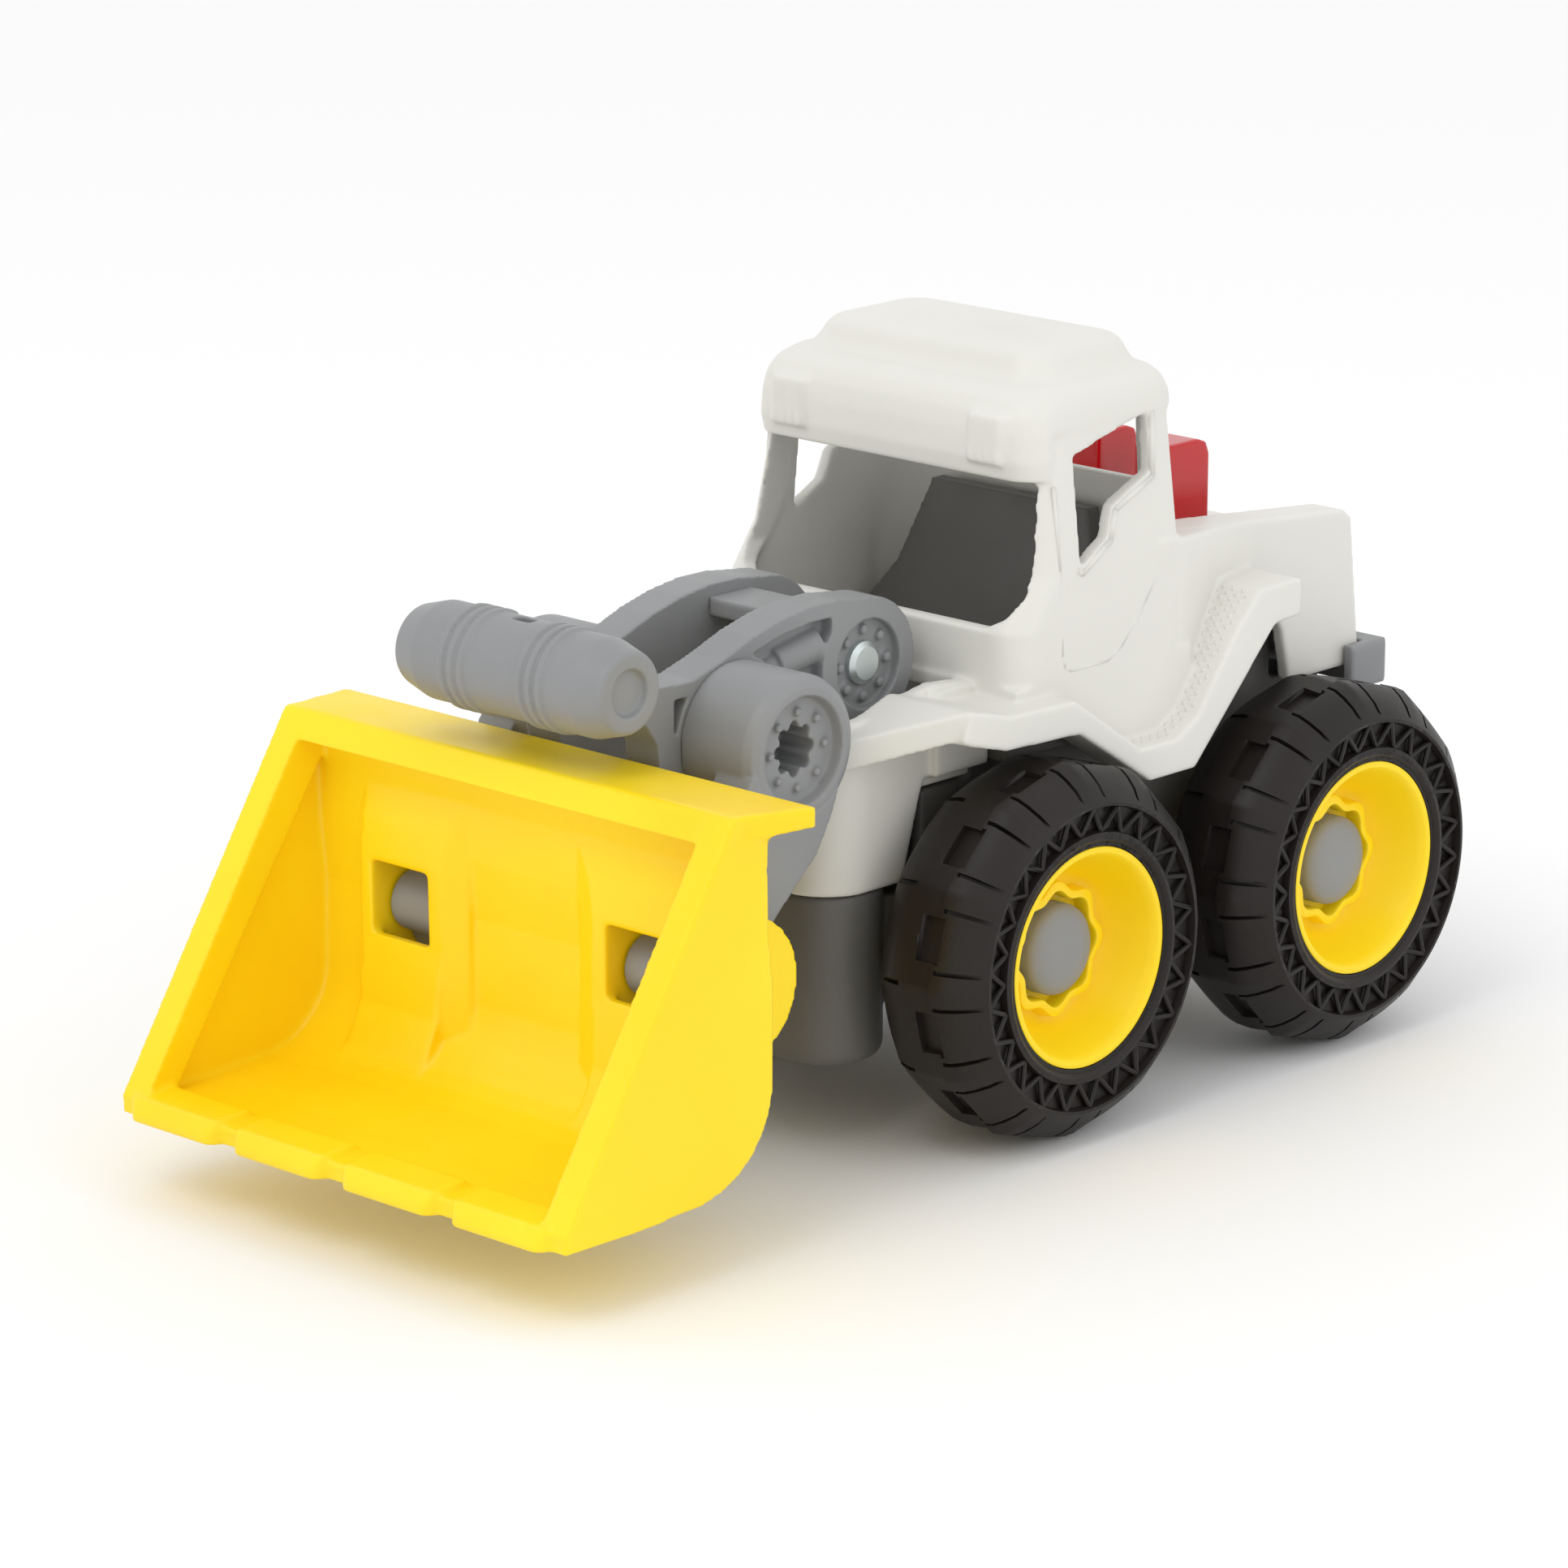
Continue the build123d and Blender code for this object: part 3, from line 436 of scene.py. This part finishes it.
def rim_mesh():
    """Rim about the X axis: rolled lip, cone, web and a wavy ring around the hub."""
    profile = [
        (22.6, 1.5), (22.6, 4.6), (29.0, 4.6), (29.0, 12.4), (22.6, 13.0), (22.6, 14.98),
        (38.6, 14.98), (38.95, 14.85), (39.0, 14.5), (38.95, 14.1), (38.6, 13.75), (37.6, 13.3),
        (35.0, 12.3), (32.6, 11.3), (31.6, 10.6), (31.1, 9.9), (31.0, 9.2), (31.0, 1.5),
    ]
    wheel = lathe(profile, 0, 0, 1, 128)
    outer = lobed_ring(8.75, 0.62, ((30.8, 0.2), (33.0, 0.0), (33.3, -0.12), (33.4, -0.35)))
    outer = cut(outer, lobed_ring(7.35, 0.5, ((30.5, 0.0), (33.1, 0.0), (33.6, 0.3))))
    return fused(wheel, outer)


def cap_mesh():
    """Domed axle cap about the X axis."""
    dome = [(31.0, 0.0), (31.0, 6.2), (33.3, 6.2), (33.9, 6.0), (34.4, 5.5), (34.8, 4.6),
            (35.1, 3.4), (35.3, 2.0), (35.4, 0.0)]
    return lathe(dome, 0, 0, 1, 96)


def wheels():
    """Four tyres, rims and caps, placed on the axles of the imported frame."""
    tyre = bevelled(tyre_mesh(), 0.16, 1, 28)
    rim = bevelled(rim_mesh(), 0.12, 2, 35)
    cap = cap_mesh()
    for end in ("front", "rear"):
        body = f"{end}_wheels"
        low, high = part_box(f"{end}_axle")
        hub = (low + high) / 2 / MM
        for name, side in (("left", 1), ("right", -1)):
            turn = Matrix.Translation(hub) @ Matrix.Rotation(0 if side > 0 else math.pi, 4, "Z")
            stem = f"{end}_{name}"
            piece(f"{stem}_tyre_look", moved(tyre, turn), body, black, [f"{stem}_tyre"], 34)
            piece(f"{stem}_rim_look", moved(rim, turn), body, yellow, [f"{stem}_rim"], 40)
            piece(f"{stem}_cap_look", moved(cap, turn), body, grey, [f"{stem}_axle_cap"], 50)


wheels()


# ---- moulded pieces -------------------------------------------------------------------
BODY_VOXEL = 0.33
BODY_PASSES = 8
BODY_TRIANGLES = 170000
ROOF_FROM_Z = 90.0
ROOF_REAR_Y = 41.0
ROOF_PASSES = 14
DOOR_BEAD_R = 0.3
DOOR_BEAD_SINK = 0.2
WINDOW_BEAD_R = 0.55
WINDOW_BEAD_SINK = 0.25
VISOR_PAD_X = 17.6
VISOR_RIB_PITCH = 1.2
TREAD_PITCH = 0.85
TREAD_OUTER_X = 30.2
TREAD_FOOT = 0.8
TREAD_TOP = 0.3
TREAD_SINK = 0.3
TREAD_HEIGHT = 0.16
# Top of the running board, as (y, z).
RAMP = [(27.6, 49.0), (34.6, 49.0), (38.6, 51.2), (47.0, 62.0), (51.6, 66.4)]
# Lines on the left side of the cab, as (y, z).
DOOR_LINE = [
    (15.4, 85.6), (15.5, 74.6), (15.7, 63.1), (16.2, 61.5), (17.4, 60.8), (24.9, 60.8),
    (27.8, 62.4), (32.5, 67.6), (38.0, 74.2),
]
WINDOW_RIM = [
    (19.0, 74.0), (19.9, 73.5), (25.9, 76.9), (27.2, 80.8), (35.2, 84.0), (35.9, 92.6),
]


def eased(mesh, test, passes):
    """Extra smoothing of the vertices that pass a test."""
    bm = bmesh.new()
    bm.from_mesh(mesh)
    chosen = [v for v in bm.verts if test(v.co)]
    for _ in range(passes):
        bmesh.ops.smooth_vert(bm, verts=chosen, factor=0.5, use_axis_x=True, use_axis_y=True, use_axis_z=True)
    result = bpy.data.meshes.new("solid")
    bm.to_mesh(result)
    bm.free()
    return result


def skin(mesh, voxel, passes):
    """Voxel skin of a solid with its edges rounded."""
    return evaluated(
        mesh,
        ("REMESH", {"mode": "VOXEL", "voxel_size": voxel, "adaptivity": 0.0}),
        ("SMOOTH", {"factor": 0.5, "iterations": passes}),
    )


def thinned(mesh, triangles):
    """Decimated copy with about the given number of triangles."""
    have = 2 * len(mesh.polygons)
    if have <= triangles:
        return mesh
    return evaluated(mesh, ("DECIMATE", {"ratio": triangles / have}))


def ramp_point(along):
    """(y, z) and slope angle at a distance along the top of the rising running board."""
    for (y0, z0), (y1, z1) in zip(RAMP, RAMP[1:]):
        length = math.hypot(y1 - y0, z1 - z0)
        if along <= length:
            share = along / length
            return y0 + (y1 - y0) * share, z0 + (z1 - z0) * share, math.atan2(z1 - z0, y1 - y0)
        along -= length
    return None


def tread_inner_x(y):
    """Where the cab side meets the running board."""
    return 27.9 if y < 38 else max(23.6, 27.9 - 0.32 * (y - 38))


def tread():
    """Small raised diamonds over the rear half of the left running board."""
    parts = []
    row = 0
    along = 0.4
    while ramp_point(along):
        y, z, slope = ramp_point(along)
        turn = Matrix.Translation((0, y, z)) @ Matrix.Rotation(slope, 4, "X")
        x = tread_inner_x(y) + (row % 2) * TREAD_PITCH
        while x < TREAD_OUTER_X:
            levels = ((TREAD_FOOT, -TREAD_SINK), (TREAD_TOP, TREAD_HEIGHT))
            rings = [[(x - r, 0, h), (x, -r, h), (x + r, 0, h), (x, r, h)] for r, h in levels]
            parts.append(moved(loft(rings), turn))
            x += 2 * TREAD_PITCH
        along += TREAD_PITCH
        row += 1
    return joined(*parts)


def cab_side_x(z):
    """Half width of the cab at a height."""
    if z <= 67.0:
        return 27.2
    if z <= 74.0:
        return 27.2 - 0.3 * (z - 67.0) / 7.0
    return 26.9 - 2.3 * (z - 74.0) / 22.0


def chain(points, radius, sink=0.0, steps=8):
    """Round bars along (y, z) points of the left cab side, with their axis sunk into it."""
    places = [(cab_side_x(z) - sink, y, z) for y, z in points]
    return [rod(a, b, radius, radius, steps) for a, b in zip(places, places[1:])]


def visor_ribs():
    """Fine upright ribs on the two visor pads."""
    parts = []
    for centre in (-VISOR_PAD_X, VISOR_PAD_X):
        for k in range(4):
            x = centre - 1.8 + VISOR_RIB_PITCH * k
            parts.append(rod((x, 10.42, 88.9), (x, 10.5, 94.0), 0.28, 0.28, 8))
            parts.append(rod((x, 10.5, 94.0), (x, 11.1, 95.1), 0.28, 0.2, 8))
    return joined(*parts)


def body_look():
    """White body: softened skin, visor ribs, running board tread, door and window lines."""
    core = skin(cad("body_shell"), BODY_VOXEL, BODY_PASSES)
    core = eased(core, lambda c: c.z > ROOF_FROM_Z and c.y < ROOF_REAR_Y, ROOF_PASSES)
    core = thinned(core, BODY_TRIANGLES)
    line = joined(*chain(DOOR_LINE, DOOR_BEAD_R, DOOR_BEAD_SINK))
    rim = joined(*chain(WINDOW_RIM, WINDOW_BEAD_R, WINDOW_BEAD_SINK))
    parts = [core, tread(), mirrored(tread()), rim, mirrored(rim), visor_ribs(), line, mirrored(line)]
    piece("body_shell_look", joined(*parts), "body", white, ["body_shell"], 180)


def plain_look(node, body, material, voxel, passes, triangles):
    """Softened copy of one CAD node."""
    piece(f"{node}_look", thinned(skin(cad(node), voxel, passes), triangles), body, material, [node])


# Node, body, material, voxel size, smoothing passes and triangle budget.
PLAIN_LOOKS = [
    # The chassis and cab interior take the darker grey copy, which is painted shade.
    ("chassis", "body", grey_painted_shade, 0.5, 3, 60000),
    ("rear_bumper", "body", grey, 0.4, 3, 20000),
    ("cab_interior", "body", grey_painted_shade, 0.4, 3, 20000),
    ("bucket", "bucket", yellow, 0.4, 4, 150000),
    ("arm_left", "boom", grey, 0.25, 3, 50000),
    ("elbow_link_left", "boom", grey, 0.25, 3, 60000),
    ("light_left", "body", red, 0.3, 3, 8000),
    ("arm_right", "boom", grey, 0.25, 3, 50000),
    ("elbow_link_right", "boom", grey, 0.25, 3, 60000),
    ("light_right", "body", red, 0.3, 3, 8000),
    ("arm_brace", "boom", grey, 0.3, 2, 6000),
    ("cross_grip", "boom", grey, 0.22, 3, 50000),
]

body_look()
for look in PLAIN_LOOKS:
    plain_look(*look)


# ---- stage --------------------------------------------------------------------------
FLOOR_HALF = 4.0
CAMERA_PLACE = (0.5569, -0.6012, 0.2708)
CAMERA_DOWN_DEG = 15.490
CAMERA_ROUND_DEG = 43.237
CAMERA_LENS = 146.27
CAMERA_SENSOR = 36.0
LAMP_AIM = (0, 0, 0.05)


def stage():
    """Plain pale floor."""
    mesh = bpy.data.meshes.new("floor")
    corners = [(-1, -1), (1, -1), (1, 1), (-1, 1)]
    mesh.from_pydata([(FLOOR_HALF * x, FLOOR_HALF * y, 0) for x, y in corners], [], [(0, 1, 2, 3)])
    floor = bpy.data.objects.new("floor", mesh)
    bpy.context.scene.collection.objects.link(floor)
    n = Nodes("floor_white")
    n.shader.inputs["Base Color"].default_value = (0.93, 0.93, 0.93, 1)
    n.shader.inputs["Roughness"].default_value = 0.9
    mesh.materials.append(n.material)


def lamp(name, place, size, power):
    """Round white soft light aimed at the object."""
    data = bpy.data.lights.new(name, "AREA")
    data.shape = "DISK"
    data.size = size
    data.energy = power
    obj = bpy.data.objects.new(name, data)
    obj.location = place
    obj.rotation_euler = (Vector(LAMP_AIM) - Vector(place)).to_track_quat("-Z", "Y").to_euler()
    bpy.context.scene.collection.objects.link(obj)


def camera():
    """Camera at the viewing angle of the picture that the object was modelled from."""
    data = bpy.data.cameras.new("camera")
    data.lens = CAMERA_LENS
    data.sensor_width = CAMERA_SENSOR
    data.clip_start = 0.01
    obj = bpy.data.objects.new("camera", data)
    obj.location = CAMERA_PLACE
    obj.rotation_euler = (math.radians(90 - CAMERA_DOWN_DEG), 0, math.radians(CAMERA_ROUND_DEG))
    bpy.context.scene.collection.objects.link(obj)
    bpy.context.scene.camera = obj


def world():
    """Plain white surroundings."""
    w = bpy.data.worlds.new("studio")
    bpy.context.scene.world = w
    w.use_nodes = True
    w.node_tree.nodes["Background"].inputs["Color"].default_value = (1.0, 1.0, 1.0, 1)
    w.node_tree.nodes["Background"].inputs["Strength"].default_value = 1.0


stage()
camera()
world()
lamp("key", (0.1, -0.7, 0.95), 0.6, 2.0)
lamp("fill", (0.9, 0.2, 0.5), 0.8, 0.8)
bpy.context.scene.view_settings.view_transform = "Standard"
